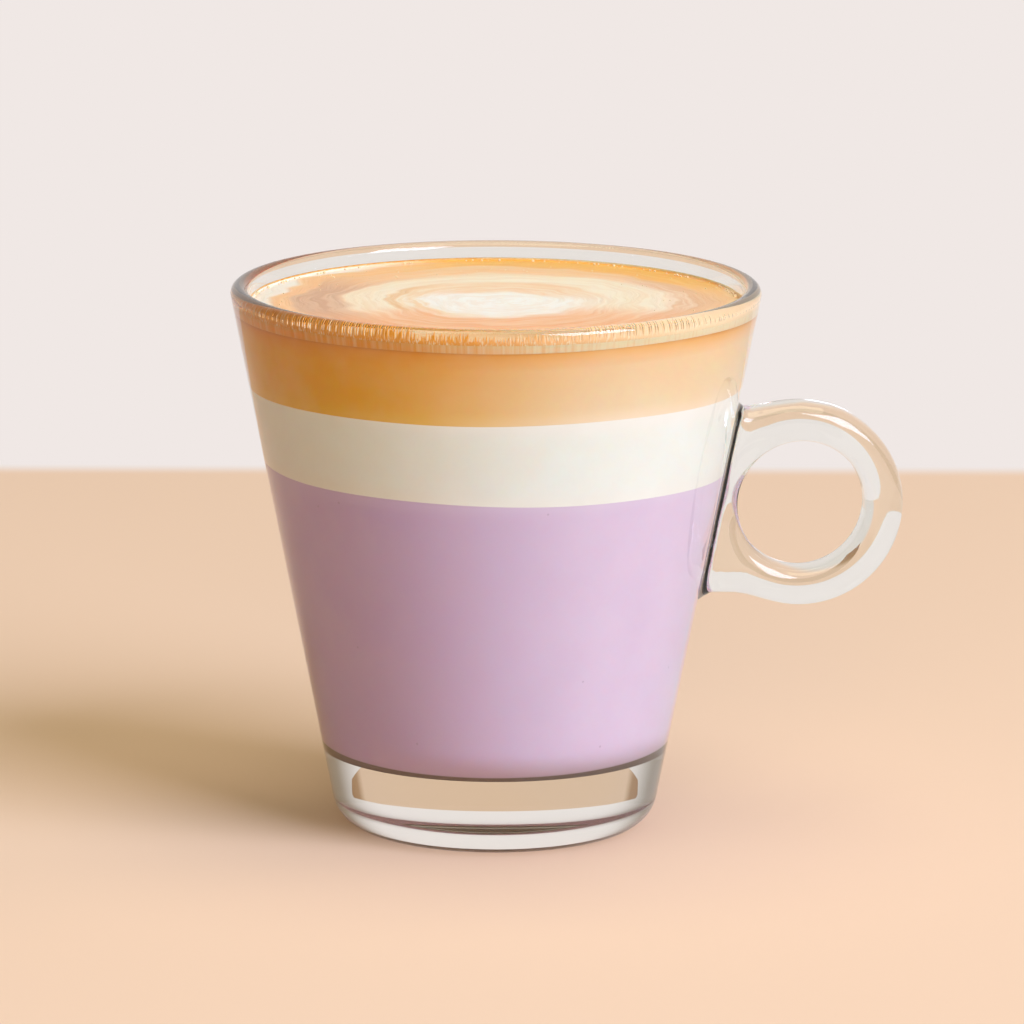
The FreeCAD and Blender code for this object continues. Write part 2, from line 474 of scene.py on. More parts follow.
@dataclass(frozen=True)
class LatteArt:
    """Crema with steamed milk poured into it: a pale heart inside rings drawn out by the pour.

    Fine foam, so it is matt with a faint sheen, and its colour runs in streaks along the turn.
    A streak is about a millimetre wide. Those of the band against the glass stand upright, 60 in
    a radian of the turn, so about 0.7 mm wide.
    """

    turned: float
    name: str = "coffee_crema_latte_art"
    middle: tuple[float, float] = (0.8, 1.0)
    rings: tuple[tuple[float, str], ...] = (
        (0.0, "FCEEE4"), (11.5, "FCEBDF"), (14.0, "FBE3CE"), (18.0, "FDE2C6"), (24.5, "FCDDBB"),
        (27.5, "F3C59A"), (30.0, "E9B78C"), (34.0, "F3BC88"), (38.0, "FAC892"), (40.0, "F6D0A6"),
    )
    strokes: tuple[Stroke, ...] = (
        Stroke("FBC99A", 13.5, 4.5, 2.5, 80, 50, 30, 0.9, 0.25),
        Stroke("EBB271", 17.6, 1.2, 1.2, 175, 35, 30, 0.8, 0.3),
        Stroke("F8D0A0", 14.6, 2.4, 1.5, 195, 60, 35, 0.8, 0.8),
        Stroke("FDE4CB", 27.0, 3.0, 1.8, 2, 42, 25, 0.85, 0.2),
        Stroke("D2A081", 29.5, 4.0, 2.2, 188, 48, 28, 0.95, 0.35),
        Stroke("FDC48E", 30.0, 4.4, 2.5, 95, 42, 28, 0.9, 0.25),
        Stroke("E9B388", 31.0, 4.0, 2.2, 352, 42, 25, 0.85, 0.6),
        Stroke("F6AE7A", 23.8, 9.6, 4.0, 272, 56, 25, 0.97, 0.2),
        Stroke("FDB558", 36.8, 4.2, 2.2, 76, 50, 24, 1.0, 0.1),
        Stroke("FAC08C", 35.6, 2.6, 1.6, 168, 52, 22, 0.8, 0.3),
        Stroke("F8EDE2", 39.6, 2.6, 1.8, 172, 46, 26, 0.9, 0.1),
        Stroke("F6E0CC", 39.8, 1.8, 1.2, 350, 35, 25, 0.7, 0.1),
    )
    wander: float = 9.0
    wander_length: float = 13.0
    streaks_in_radian: float = 1.6
    streaks_in_mm: float = 0.85
    streak_noise: tuple[float, float] = (0.36, 0.64)
    grain: str = "F3D9BE"
    grain_share: float = 0.35
    relief: float = 0.12
    band: str = "FBD9B2"
    band_strong: str = "F0A03C"
    band_streaks: float = 60.0
    band_noise: tuple[float, float] = (0.35, 0.65)
    band_uneven: float = 0.25
    # Painted shade: how far in from -X the band's amber runs.
    band_shade_spread: float = 0.45
    band_share: float = 0.85
    foam_scatter: float = 0.35

    def make(self) -> Material:
        """Build the material: the art on top, the streaky amber band where it meets the glass.

        Returns:
            The material.
        """
        material, add = new_material(self.name)
        place = add("TexCoord").outputs["Object"]
        flat = add("VectorMath", {0: place, 1: (1.0, 1.0, 0.0)}, operation="MULTIPLY")
        centred = add("Mapping", {
            "Vector": flat, "Location": (-self.middle[0], -self.middle[1], 0.0),
            "Rotation": (0.0, 0.0, math.radians(self.turned)), "Scale": (1 / MM, 1 / MM, 1 / MM),
        })
        noise = add("TexNoise", {
            "Vector": centred, "Scale": 1 / self.wander_length, "Detail": 2.0, "Roughness": 0.5,
        })
        drift = add("VectorMath", {
            0: noise.outputs["Color"], 1: (self.wander, self.wander, 0.0),
            2: (-self.wander / 2, -self.wander / 2, 0.0),
        }, operation="MULTIPLY_ADD")
        spot = add("VectorMath", {0: centred, 1: drift}, operation="ADD")
        radius = add("VectorMath", {0: spot}, operation="LENGTH")
        outwards = add("VectorMath", {0: centred}, operation="NORMALIZE")
        streaks = self.streaks(add, outwards, radius)
        widest = self.rings[-1][0]
        share = add("Math", {0: radius, 1: widest}, operation="DIVIDE")
        shown = add("ValToRGB", {"Fac": share})
        set_ramp(shown, [(ring / widest, code) for ring, code in self.rings])
        for stroke in self.strokes:
            shown = self.paint(add, stroke, shown, radius, outwards, streaks)
        grain = add("Mix", {
            "Factor": streaks, "A": shown, "B": linear(self.grain),
        }, data_type="RGBA", blend_type="MULTIPLY")
        shown = add("Mix", {"Factor": self.grain_share, "A": shown, "B": grain}, data_type="RGBA")
        wet = add("Attribute", attribute_name="wet").outputs["Fac"]
        shown = add("Mix", {"Factor": wet, "A": shown, "B": self.edge(add, outwards)}, data_type="RGBA")
        relief = add("Bump", {"Height": streaks, "Strength": 0.5, "Distance": self.relief * MM})
        body = add("BsdfPrincipled", {
            "Base Color": shown, "Roughness": 0.42, "IOR": 1.35, "Specular IOR Level": 0.35,
            "Subsurface Weight": 1.0, "Subsurface Radius": (1.0, 0.8, 0.6),
            "Subsurface Scale": self.foam_scatter * MM, "Normal": relief,
        })
        add("OutputMaterial", {"Surface": AgainstGlass().cover(add, body)})
        return material

    def streaks(self, add: Adder, outwards: Node, radius: Node) -> Node:
        """Fine lines that follow the turn: noise that is long round the cup and short outwards.

        Args:
            add: Adds a node to the material's tree.
            outwards: Direction from the swirl's middle, of length 1.
            radius: Distance from the swirl's middle, in millimetres.

        Returns:
            A node that gives the lines, from 0 to 1.
        """
        along = add("VectorMath", {
            0: outwards, 1: (self.streaks_in_radian, self.streaks_in_radian, 0.0),
        }, operation="MULTIPLY")
        out = add("Math", {0: radius, 1: self.streaks_in_mm}, operation="MULTIPLY")
        lift = add("CombineXYZ", {"Z": out})
        spot = add("VectorMath", {0: along, 1: lift}, operation="ADD")
        noise = add("TexNoise", {"Vector": spot, "Scale": 1.0, "Detail": 4.0, "Roughness": 0.62})
        return add("MapRange", {
            "Value": noise, "From Min": self.streak_noise[0], "From Max": self.streak_noise[1],
        }, interpolation_type="SMOOTHSTEP")

    def paint(self, add: Adder, stroke: Stroke, below: Node, radius: Node, outwards: Node,
              streaks: Node) -> Node:
        """Lay one stroke over the colours below it.

        Args:
            add: Adds a node to the material's tree.
            stroke: The stroke.
            below: The colours so far.
            radius: Distance from the swirl's middle, in millimetres.
            outwards: Direction from the swirl's middle, of length 1.
            streaks: Lines along the turn that break the stroke up.

        Returns:
            The new colours.
        """
        off = add("Math", {0: radius, 1: stroke.radius}, operation="SUBTRACT")
        away = add("Math", {0: off}, operation="ABSOLUTE")
        mask = add("MapRange", {
            "Value": away, "From Min": stroke.half + stroke.soft / 2,
            "From Max": stroke.half - stroke.soft / 2, "To Max": stroke.share,
        }, interpolation_type="SMOOTHSTEP")
        facing = add("VectorMath", {0: outwards, 1: heading(stroke.bearing)}, operation="DOT_PRODUCT")
        side = add("MapRange", {
            "Value": facing, "From Min": math.cos(math.radians(stroke.spread + stroke.fade)),
            "From Max": math.cos(math.radians(stroke.spread - stroke.fade / 2)),
        }, interpolation_type="SMOOTHSTEP")
        broken = add("MapRange", {"Value": streaks, "To Min": 1 - stroke.drawn})
        for part in (side, broken):
            mask = add("Math", {0: mask, 1: part}, operation="MULTIPLY")
        return add("Mix", {"Factor": mask, "A": below, "B": linear(stroke.colour)}, data_type="RGBA")

    def edge(self, add: Adder, outwards: Node) -> Node:
        """Colours of the crema against the glass: amber with upright streaks, deeper towards -X as painted
        shade.

        Args:
            add: Adds a node to the material's tree.
            outwards: Direction from the swirl's middle, of length 1.

        Returns:
            The colours.
        """
        fine = add("VectorMath", {
            0: outwards, 1: (self.band_streaks, self.band_streaks, 0.0),
        }, operation="MULTIPLY")
        noise = add("TexNoise", {"Vector": fine, "Scale": 1.0, "Detail": 2.0, "Roughness": 0.6})
        upright = add("MapRange", {
            "Value": noise, "From Min": self.band_noise[0], "From Max": self.band_noise[1],
            "To Min": -self.band_uneven, "To Max": self.band_uneven,
        })
        # Painted shade: the band is more amber towards -X, away from the key lamp, and paler towards +X.
        parts = add("SeparateXYZ", {0: outwards})
        share = add("MapRange", {
            "Value": parts, "From Min": self.band_shade_spread, "From Max": -self.band_shade_spread,
            "To Max": self.band_share,
        }, interpolation_type="SMOOTHSTEP")
        mixed = add("Math", {0: share, 1: upright}, operation="ADD", use_clamp=True)
        return add("Mix", {
            "Factor": mixed, "A": linear(self.band), "B": linear(self.band_strong),
        }, data_type="RGBA")


@dataclass(frozen=True)
class MilkFoam:
    """Dried foam and bubbles at the drink's edge: cream where thick, amber where coffee shows.

    Its specks are as large as the cell, drawn out upwards where upright is below 1. The amber
    fades from -X to +X, painted shade on the side away from the key lamp, and from the front
    to the back, between the places of the two fades, and the last number of a fade is what
    stays of it.
    """

    name: str
    pale: str
    amber: str
    amber_share: float
    cell: float
    upright: float = 1.0
    pale_below: float = 0.38
    speck_soft: float = 0.2
    shade_fade: tuple[float, float, float] = (27.0, -8.0, 0.1)
    front_fade: tuple[float, float, float] = (20.0, -8.0, 0.15)

    def make(self) -> Material:
        """Build the material: amber and cream in specks, with painted shade as more amber towards -X.

        Returns:
            The material.
        """
        material, add = new_material(self.name)
        place = add("TexCoord").outputs["Object"]
        upright = add("VectorMath", {0: place, 1: (1.0, 1.0, self.upright)}, operation="MULTIPLY")
        specks = add("TexNoise", {
            "Vector": upright, "Scale": 1 / (self.cell * MM), "Detail": 2.0, "Roughness": 0.6,
        })
        share = add("MapRange", {
            "Value": specks, "From Min": self.pale_below, "From Max": self.pale_below + self.speck_soft,
            "To Max": self.amber_share,
        }, interpolation_type="SMOOTHSTEP")
        parts = add("SeparateXYZ", {0: place}).outputs
        # Painted shade: the amber deepens towards -X, away from the key lamp; it also grows towards the
        # front.
        side, front = (
            add("MapRange", {
                "Value": parts[axis], "From Min": start * MM, "From Max": end * MM, "To Min": left,
            })
            for axis, (start, end, left) in (("X", self.shade_fade), ("Y", self.front_fade))
        )
        both = add("Math", {0: side, 1: front}, operation="MULTIPLY")
        amber = add("Math", {0: share, 1: both}, operation="MULTIPLY")
        shown = add("Mix", {
            "Factor": amber, "A": linear(self.pale), "B": linear(self.amber),
        }, data_type="RGBA")
        body = add("BsdfPrincipled", {
            "Base Color": shown, "Roughness": 0.3, "IOR": 1.35, "Specular IOR Level": 0.5,
        })
        add("OutputMaterial", {"Surface": body})
        return material


# ---------------------------------------------------------------- the glass


class Face(Enum):
    """A face of the cup's wall, with its direction from the wall's middle."""

    OUTSIDE = 1
    INSIDE = -1


@dataclass
class GlassCup:
    """The cup and its ring handle, one piece of glass.

    The wall is a turned grid with a patch left out on the handle's side. The ring is a grid of
    its own with a patch left out towards the wall. A bridge of the same count of steps joins the
    two, and the ring and the bridge are then eased on to the true, filleted surface. The counts
    of steps say how fine each run of the profile is. Where the wall leaves the ring's grid less
    room, it is found by probing outwards, and the grid keeps a clearance from it.
    """

    height: float
    rim_radius: float
    reach: float
    lean: float = 11.2
    wall: float = 2.8
    base: float = 12.7
    foot_corner: float = 6.0
    bowl_corner: float = 6.0
    bearing_ring: float = 3.5
    dome: float = 0.5
    ring_height: float = 51.9
    bore: float = 10.35
    band: float = 6.2
    half_width: float = 4.25
    outer_edge: float = 2.9
    bore_edge: float = 2.9
    root_top: float = 67.65
    root_bottom: float = 37.65
    root_fillet: float = 1.5
    outline_blend: float = 2.0
    segments: int = 192
    dome_steps: int = 8
    bearing_steps: int = 4
    corner_steps: int = 12
    foot_steps: int = 10
    brow_steps: int = 8
    rim_steps: int = 22
    bowl_steps: int = 24
    floor_steps: int = 8
    patch_columns: int = 12
    patch_rows: int = 32
    patch_low: float = 35.1
    patch_high: float = 70.3
    ring_segments: int = 84
    section_segments: int = 30
    patch_start: int = 25
    bridge_rows: int = 5
    easing_passes: int = 60
    easing: float = 0.5
    probe: float = 0.05
    probe_past: float = 8.0
    clearance: float = 0.9
    least_share: float = 0.3
    edge_steps: tuple[int, int] = (16, 24)
    tangent_step: float = 0.002
    least_slope: float = 0.05
    longest_move: float = 1.0

    def __post_init__(self) -> None:
        """Work out the terms that several methods share."""
        self.slope = math.tan(math.radians(self.lean))
        self.cosine = math.cos(math.radians(self.lean))
        self.round = self.wall / 2
        self.rim_centre = (self.rim_radius - self.round, self.height - self.round)
        self.ring_radius = self.bore + self.band
        self.ring_centre = self.reach - self.ring_radius

    def wall_radius(self, height: float | np.ndarray, face: Face) -> float | np.ndarray:
        """The wall's radius at a height.

        Args:
            height: Height above the table.
            face: Which of the wall's faces.

        Returns:
            The radius, of the same shape as height.
        """
        middle = self.rim_centre[0] - (self.rim_centre[1] - height) * self.slope
        return middle + face.value * self.round / self.cosine

    def fillet(self, corner: float, face: Face) -> tuple[float, float]:
        """Centre of the rounding between the wall and a flat bottom.

        Args:
            corner: The rounding's radius.
            face: Outside for the foot's corner, inside for the bowl's.

        Returns:
            Radius and height of its centre.
        """
        height = corner + (self.base if face is Face.INSIDE else 0.0)
        return self.wall_radius(height, face) - corner / self.cosine, height

    def rows(self) -> tuple[np.ndarray, int]:
        """The whole half profile, from the dome under the foot round to the middle of the bowl.

        Returns:
            Radius and height of each ring, and the number of the ring at the patch's lower edge.
        """
        foot = self.fillet(self.foot_corner, Face.OUTSIDE)
        bowl = self.fillet(self.bowl_corner, Face.INSIDE)
        dome_edge = self.wall_radius(0.0, Face.OUTSIDE) - self.foot_corner - self.bearing_ring
        dome_radius = (dome_edge ** 2 + self.dome ** 2) / (2 * self.dome)
        dome_at = dome_edge * np.arange(1, self.dome_steps + 1) / self.dome_steps
        rows = [(0.0, self.dome)]
        rows += [(r, self.dome - dome_radius + math.sqrt(dome_radius ** 2 - r ** 2)) for r in dome_at]
        rows += run(rows[-1], (foot[0], 0.0), self.bearing_steps)
        rows += arc(foot, self.foot_corner, -90, -self.lean, self.corner_steps)[1:]
        for height, steps in ((self.patch_low, self.foot_steps), (self.patch_high, self.patch_rows)):
            first = len(rows) - 1
            rows += run(rows[-1], (self.wall_radius(height, Face.OUTSIDE), height), steps)
        rim = arc(self.rim_centre, self.round, -self.lean, 180 - self.lean, self.rim_steps)
        rows += run(rows[-1], rim[0], self.brow_steps) + rim[1:]
        turn = arc(bowl, self.bowl_corner, -self.lean, -90, self.corner_steps)
        rows += run(rows[-1], turn[0], self.bowl_steps) + turn[1:]
        rows += run(rows[-1], (0.0, self.base), self.floor_steps)
        return np.array(rows), first - 1

    def distance(self, points: np.ndarray) -> np.ndarray:
        """How far points lie outside the glass's outer surface, near enough to ease a mesh by.

        Args:
            points: One row of x, y and z for each point.

        Returns:
            A distance for each, below zero inside.
        """
        x, y, z = points.T
        cone = (np.hypot(x, y) - self.wall_radius(z, Face.OUTSIDE)) * self.cosine
        away = np.hypot(x - self.ring_centre, z - self.ring_height)
        root_in = self.wall_radius(self.root_bottom, Face.INSIDE)
        middle, half = (self.ring_centre + root_in) / 2, (self.ring_centre - root_in) / 2
        across = np.abs(x - middle) - half
        along = np.abs(z - (self.root_top + self.root_bottom) / 2) - (self.root_top - self.root_bottom) / 2
        root = np.hypot(np.maximum(across, 0), np.maximum(along, 0))
        root += np.minimum(np.maximum(across, along), 0)
        ring = away - self.ring_radius
        blend = np.maximum(self.outline_blend - np.abs(ring - root), 0) / self.outline_blend
        outline = np.minimum(ring, root) - blend ** 2 * self.outline_blend / 4
        width = np.abs(y) - self.half_width
        plate = self.rounded(outline, width, self.outer_edge)
        plate = np.maximum(plate, self.rounded(self.bore - away, width, self.bore_edge))
        reach = self.root_fillet
        near = np.hypot(np.maximum(reach - cone, 0), np.maximum(reach - plate, 0))
        return np.maximum(reach, np.minimum(cone, plate)) - near

    @staticmethod
    def rounded(outline: np.ndarray, width: np.ndarray, edge: float) -> np.ndarray:
        """Distance to a plate whose edge is rounded, from the distances to its outline and faces."""
        a, b = outline + edge, width + edge
        return np.minimum(np.maximum(a, b), 0) + np.hypot(np.maximum(a, 0), np.maximum(b, 0)) - edge

    def section(self) -> np.ndarray:
        """The ring's section, from the middle of the bore's side round by +Y.

        Returns:
            Distance from the bore's axis and place along Y, in equal steps.
        """
        inner, outer, half = self.bore, self.ring_radius, self.half_width
        side = [(inner, 0.0)]
        side += arc((inner + self.bore_edge, half - self.bore_edge), self.bore_edge, 180, 90,
                    self.edge_steps[0])
        side += arc((outer - self.outer_edge, half - self.outer_edge), self.outer_edge, 90, 0,
                    self.edge_steps[1])
        side += [(outer, 0.0)]
        line = np.array(side + [(r, -y) for r, y in reversed(side[:-1])])
        steps = np.r_[0, np.cumsum(np.hypot(*np.diff(line, axis=0).T))]
        places = np.arange(self.section_segments) * steps[-1] / self.section_segments
        return np.stack([np.interp(places, steps, line[:, 0]), np.interp(places, steps, line[:, 1])], 1)

    def ring_points(self) -> np.ndarray:
        """The ring's grid, drawn in towards the bore where the wall leaves it less room.

        Returns:
            Places, by step round the ring and step round its section.
        """
        section = self.section()
        turn = np.arange(self.ring_segments) * 2 * math.pi / self.ring_segments
        points = []
        first, last = self.patch_start, self.patch_start + self.patch_rows
        for place, angle in enumerate(turn):
            radius, across = section[:, 0].copy(), section[:, 1]
            if first <= place <= last:
                outwards = np.arange(0, self.ring_radius + self.probe_past, self.probe)
                x = self.ring_centre + outwards * math.cos(angle)
                z = self.ring_height + outwards * math.sin(angle)
                inside = np.nonzero(x <= self.wall_radius(z, Face.OUTSIDE))[0]
                room = outwards[inside[0]] if len(inside) else self.ring_radius + self.probe_past
                kept = radius[self.section_cut()[0]] - self.bore
                share = np.clip((room - self.bore - self.clearance) / kept, self.least_share, 1.0)
                radius = self.bore + (radius - self.bore) * share
            points.append(np.stack([
                self.ring_centre + radius * math.cos(angle), across,
                self.ring_height + radius * math.sin(angle),
            ], 1))
        return np.array(points)

    def section_cut(self) -> tuple[int, int]:
        """The section's steps between which the patch towards the wall is left out."""
        middle = self.section_segments // 2
        return middle - self.patch_columns // 2, middle + self.patch_columns // 2

    def build_mesh(self) -> tuple[np.ndarray, list]:
        """Join the turned wall, the ring and the bridge between them into one closed mesh.

        Returns:
            Points and faces.
        """
        rows, low = self.rows()
        wall, faces = lathe(rows, self.segments)
        half, high = self.patch_columns // 2, low + self.patch_rows
        across = range(-half, half)
        left_out = {i * self.segments + j % self.segments for i in range(low, high) for j in across}
        faces = [face for face in faces if len(face) == 3 or face[0] not in left_out]

        ring = self.ring_points()
        start, count = len(wall), self.section_segments
        first, last = self.patch_start, self.patch_start + self.patch_rows
        near, far = self.section_cut()
        for a in range(self.ring_segments):
            for b in range(count):
                if not (first <= a < last and near <= b < far):
                    faces.append((
                        start + a * count + b, start + (a + 1) % self.ring_segments * count + b,
                        start + (a + 1) % self.ring_segments * count + (b + 1) % count,
                        start + a * count + (b + 1) % count,
                    ))
        ring_loop = [(first, b) for b in range(near, far + 1)]
        ring_loop += [(a, far) for a in range(first + 1, last + 1)]
        ring_loop += [(last, b) for b in range(far - 1, near - 1, -1)]
        ring_loop += [(a, near) for a in range(last - 1, first, -1)]
        wall_loop = [(high, half - k) for k in range(self.patch_columns + 1)]
        wall_loop += [(high - k, -half) for k in range(1, self.patch_rows + 1)]
        wall_loop += [(low, k - half) for k in range(1, self.patch_columns + 1)]
        wall_loop += [(low + k, half) for k in range(1, self.patch_rows)]
        inner = [start + a * count + b for a, b in ring_loop]
        outer = [i * self.segments + j % self.segments for i, j in wall_loop]
        points = np.vstack([wall, ring.reshape(-1, 3)])
        loops = [outer]
        for step in range(1, self.bridge_rows):
            share = step / self.bridge_rows
            loops.append(list(range(len(points), len(points) + len(outer))))
            points = np.vstack([points, points[outer] * (1 - share) + points[inner] * share])
        loops.append(inner)
        size = len(outer)
        for here, there in zip(loops, loops[1:]):
            faces += [
                (here[k], here[(k + 1) % size], there[(k + 1) % size], there[k]) for k in range(size)
            ]
        used = np.zeros(len(points), bool)
        used[np.unique(np.concatenate([np.array(face) for face in faces]))] = True
        free = used & (np.arange(len(points)) >= start)
        points = self.ease(points, faces, free)
        new = np.cumsum(used) - 1
        return points[used], [tuple(int(new[v]) for v in face) for face in faces]

    def ease(self, points: np.ndarray, faces: list, free: np.ndarray) -> np.ndarray:
        """Even out the free points along the surface and draw them on to it.

        Args:
            points: All points.
            faces: All faces.
            free: Which points may move.

        Returns:
            The points, moved.
        """
        edges = {
            (min(a, b), max(a, b)) for face in faces for a, b in zip(face, face[1:] + face[:1])
            if free[a] or free[b]
        }
        a, b = np.array(sorted(edges)).T
        degree = np.bincount(np.r_[a, b], minlength=len(points))
        degree = np.maximum(degree, 1)[:, None]
        points = self.settle(points, free)
        for _ in range(self.easing_passes):
            total = np.zeros_like(points)
            np.add.at(total, a, points[b])
            np.add.at(total, b, points[a])
            step = (total / degree - points) * self.easing
            normal = self.gradient(points[free])
            normal /= np.linalg.norm(normal, axis=1, keepdims=True)
            along = step[free] - (step[free] * normal).sum(1, keepdims=True) * normal
            points[free] += along
            points = self.settle(points, free, 1)
        return self.settle(points, free, 4)

    def gradient(self, points: np.ndarray) -> np.ndarray:
        """The distance's gradient.

        Args:
            points: One row of x, y and z for each point.

        Returns:
            One row of x, y and z for each point.
        """
        step = self.tangent_step
        parts = [self.distance(points + step * axis) - self.distance(points - step * axis)
                 for axis in np.eye(3)]
        return np.stack(parts, 1) / (2 * step)

    def settle(self, points: np.ndarray, free: np.ndarray, rounds: int = 6) -> np.ndarray:
        """Draw the free points on to the surface by Newton's method.

        Args:
            points: All points.
            free: Which points may move.
            rounds: How many times they are drawn on.

        Returns:
            The points, moved.
        """
        points = points.copy()
        for _ in range(rounds):
            slope = self.gradient(points[free])
            size = np.maximum((slope ** 2).sum(1, keepdims=True), self.least_slope)
            move = self.distance(points[free])[:, None] * slope / size
            points[free] -= np.clip(move, -self.longest_move, self.longest_move)
        return points

    def build(self, material: Material) -> Object:
        """Make the cup and let it stand for its CAD node.

        Args:
            material: Its finish.

        Returns:
            The piece, seated.
        """
        points, faces = self.build_mesh()
        cup = add_piece("glass_cup_shell", points, faces, material)
        seat(cup, "clear_glass", "glass_cup")
        return cup


# ---------------------------------------------------------------- the drink


@dataclass
class Drink:
    """The four layers, each reaching a little into the glass so that no air shows between.

    The boundaries rise and fall by the two waves, each a height and how many times it goes round,
    and die out towards the middle. The one over the ube layer also leans, by tilt for each
    millimetre along X. Points near the wall slide along it as they rise, and a top is dry, with
    nothing mirrored into the glass, where it keeps a gap from the wall.
    """

    cup: GlassCup
    bottom: float
    levels: dict[Layer, float]
    sink: float = 0.12
    tilt: float = -0.026
    waves: tuple[tuple[float, int], ...] = ((0.14, 2), (0.08, 5))
    calm_within: float = 30.0
    meniscus: float = 0.5
    segments: int = 192
    end_steps: int = 10
    bottom_steps: int = 8
    corner_steps: int = 12
    creep_steps: int = 8
    top_steps: int = 60
    row_height: float = 1.2
    crease: float = 45.0
    wall_reach: float = 1.0
    wall_share: float = 0.95
    dry_gap: float = 0.02

    def boundary(self, level: float, x: np.ndarray, y: np.ndarray) -> np.ndarray:
        """Height of the meeting of two layers over a point of the plan.

        Args:
            level: Its mean height.
            x: Place along X.
            y: Place along Y.

        Returns:
            Heights.
        """
        turn = np.arctan2(y, x)
        wave = sum(size * np.sin(count * turn + (place + 1) * level)
                   for place, (size, count) in enumerate(self.waves))
        lean = self.tilt if level == self.levels[Layer.UBE] else 0.0
        return level + lean * x + wave * np.minimum(np.hypot(x, y) / self.calm_within, 1)

    def span(self, layer: Layer) -> tuple[float, float]:
        """The mean heights of a layer's bottom and top."""
        place, heights = list(self.levels).index(layer), [self.bottom, *self.levels.values()]
        return heights[place], heights[place + 1]

    def layer_rows(self, layer: Layer) -> np.ndarray:
        """A layer's half profile, with level ends.

        Args:
            layer: Which one.

        Returns:
            Radius and height of each ring, from the bottom's middle round to the top's.
        """
        low, high = self.span(layer)
        if layer is Layer.UBE:
            centre = self.cup.fillet(self.cup.bowl_corner, Face.INSIDE)
            under = low - self.sink
            rows = [(0.0, under)] + run((0.0, under), (centre[0], under), self.bottom_steps)
            rows += arc(centre, self.cup.bowl_corner + self.sink, -90, -self.cup.lean, self.corner_steps)[1:]
            low = rows[-1][1]
        else:
            edge = self.cup.wall_radius(low, Face.INSIDE) + self.sink
            rows = [(0.0, low)] + run((0.0, low), (edge, low), self.end_steps)
        steps = max(4, round((high - low) / self.row_height))
        crept = high + (self.meniscus if layer is Layer.CREMA else 0.0)
        rows += run((self.cup.wall_radius(low, Face.INSIDE) + self.sink, low),
                    (self.cup.wall_radius(crept, Face.INSIDE) + self.sink, crept), steps)
        inwards = self.end_steps
        if layer is Layer.CREMA:
            hollow = (self.cup.wall_radius(crept, Face.INSIDE) - self.meniscus, crept)
            rows += arc(hollow, self.meniscus, 0, -90, self.creep_steps)
            inwards = self.top_steps
        return np.array(rows + run(rows[-1], (0.0, high), inwards))

    def build(self, layer: Layer, material: Material) -> Object:
        """Make one layer.

        Args:
            layer: Which one.
            material: Its finish.

        Returns:
            The piece, seated.
        """
        low, high = self.span(layer)
        points, faces = lathe(self.layer_rows(layer), self.segments)
        x, y, z = points.T
        share = np.clip((z - low) / (high - low), 0, 1)
        floor = np.full(len(points), low) if layer is Layer.UBE else self.boundary(low, x, y)
        roof = np.full(len(points), high) if layer is Layer.CREMA else self.boundary(high, x, y)
        moved = z + (floor - low) * (1 - share) + (roof - high) * share
        radius = np.hypot(x, y)
        near_wall = radius > self.cup.wall_radius(low, Face.INSIDE) - self.wall_reach
        slip = np.where(near_wall, (moved - z) * self.cup.slope, 0)
        on_wall = radius > self.wall_share * self.cup.wall_radius(z, Face.INSIDE)
        scale = np.where(on_wall, (radius + slip) / np.maximum(radius, 1e-6), 1.0)
        points = np.stack([x * scale, y * scale, moved], 1)
        top = radius < self.cup.wall_radius(moved, Face.INSIDE) - self.dry_gap
        wet = np.where(top & (moved > (low + high) / 2), 0.0, 1.0)
        marks = {"rise": moved - floor, "wet": wet}
        piece = add_piece(f"{layer.value}_layer", points, faces, material, marks)
        piece.data.set_sharp_from_angle(angle=math.radians(self.crease))
        seat(piece, layer.value, layer.value)
        return piece


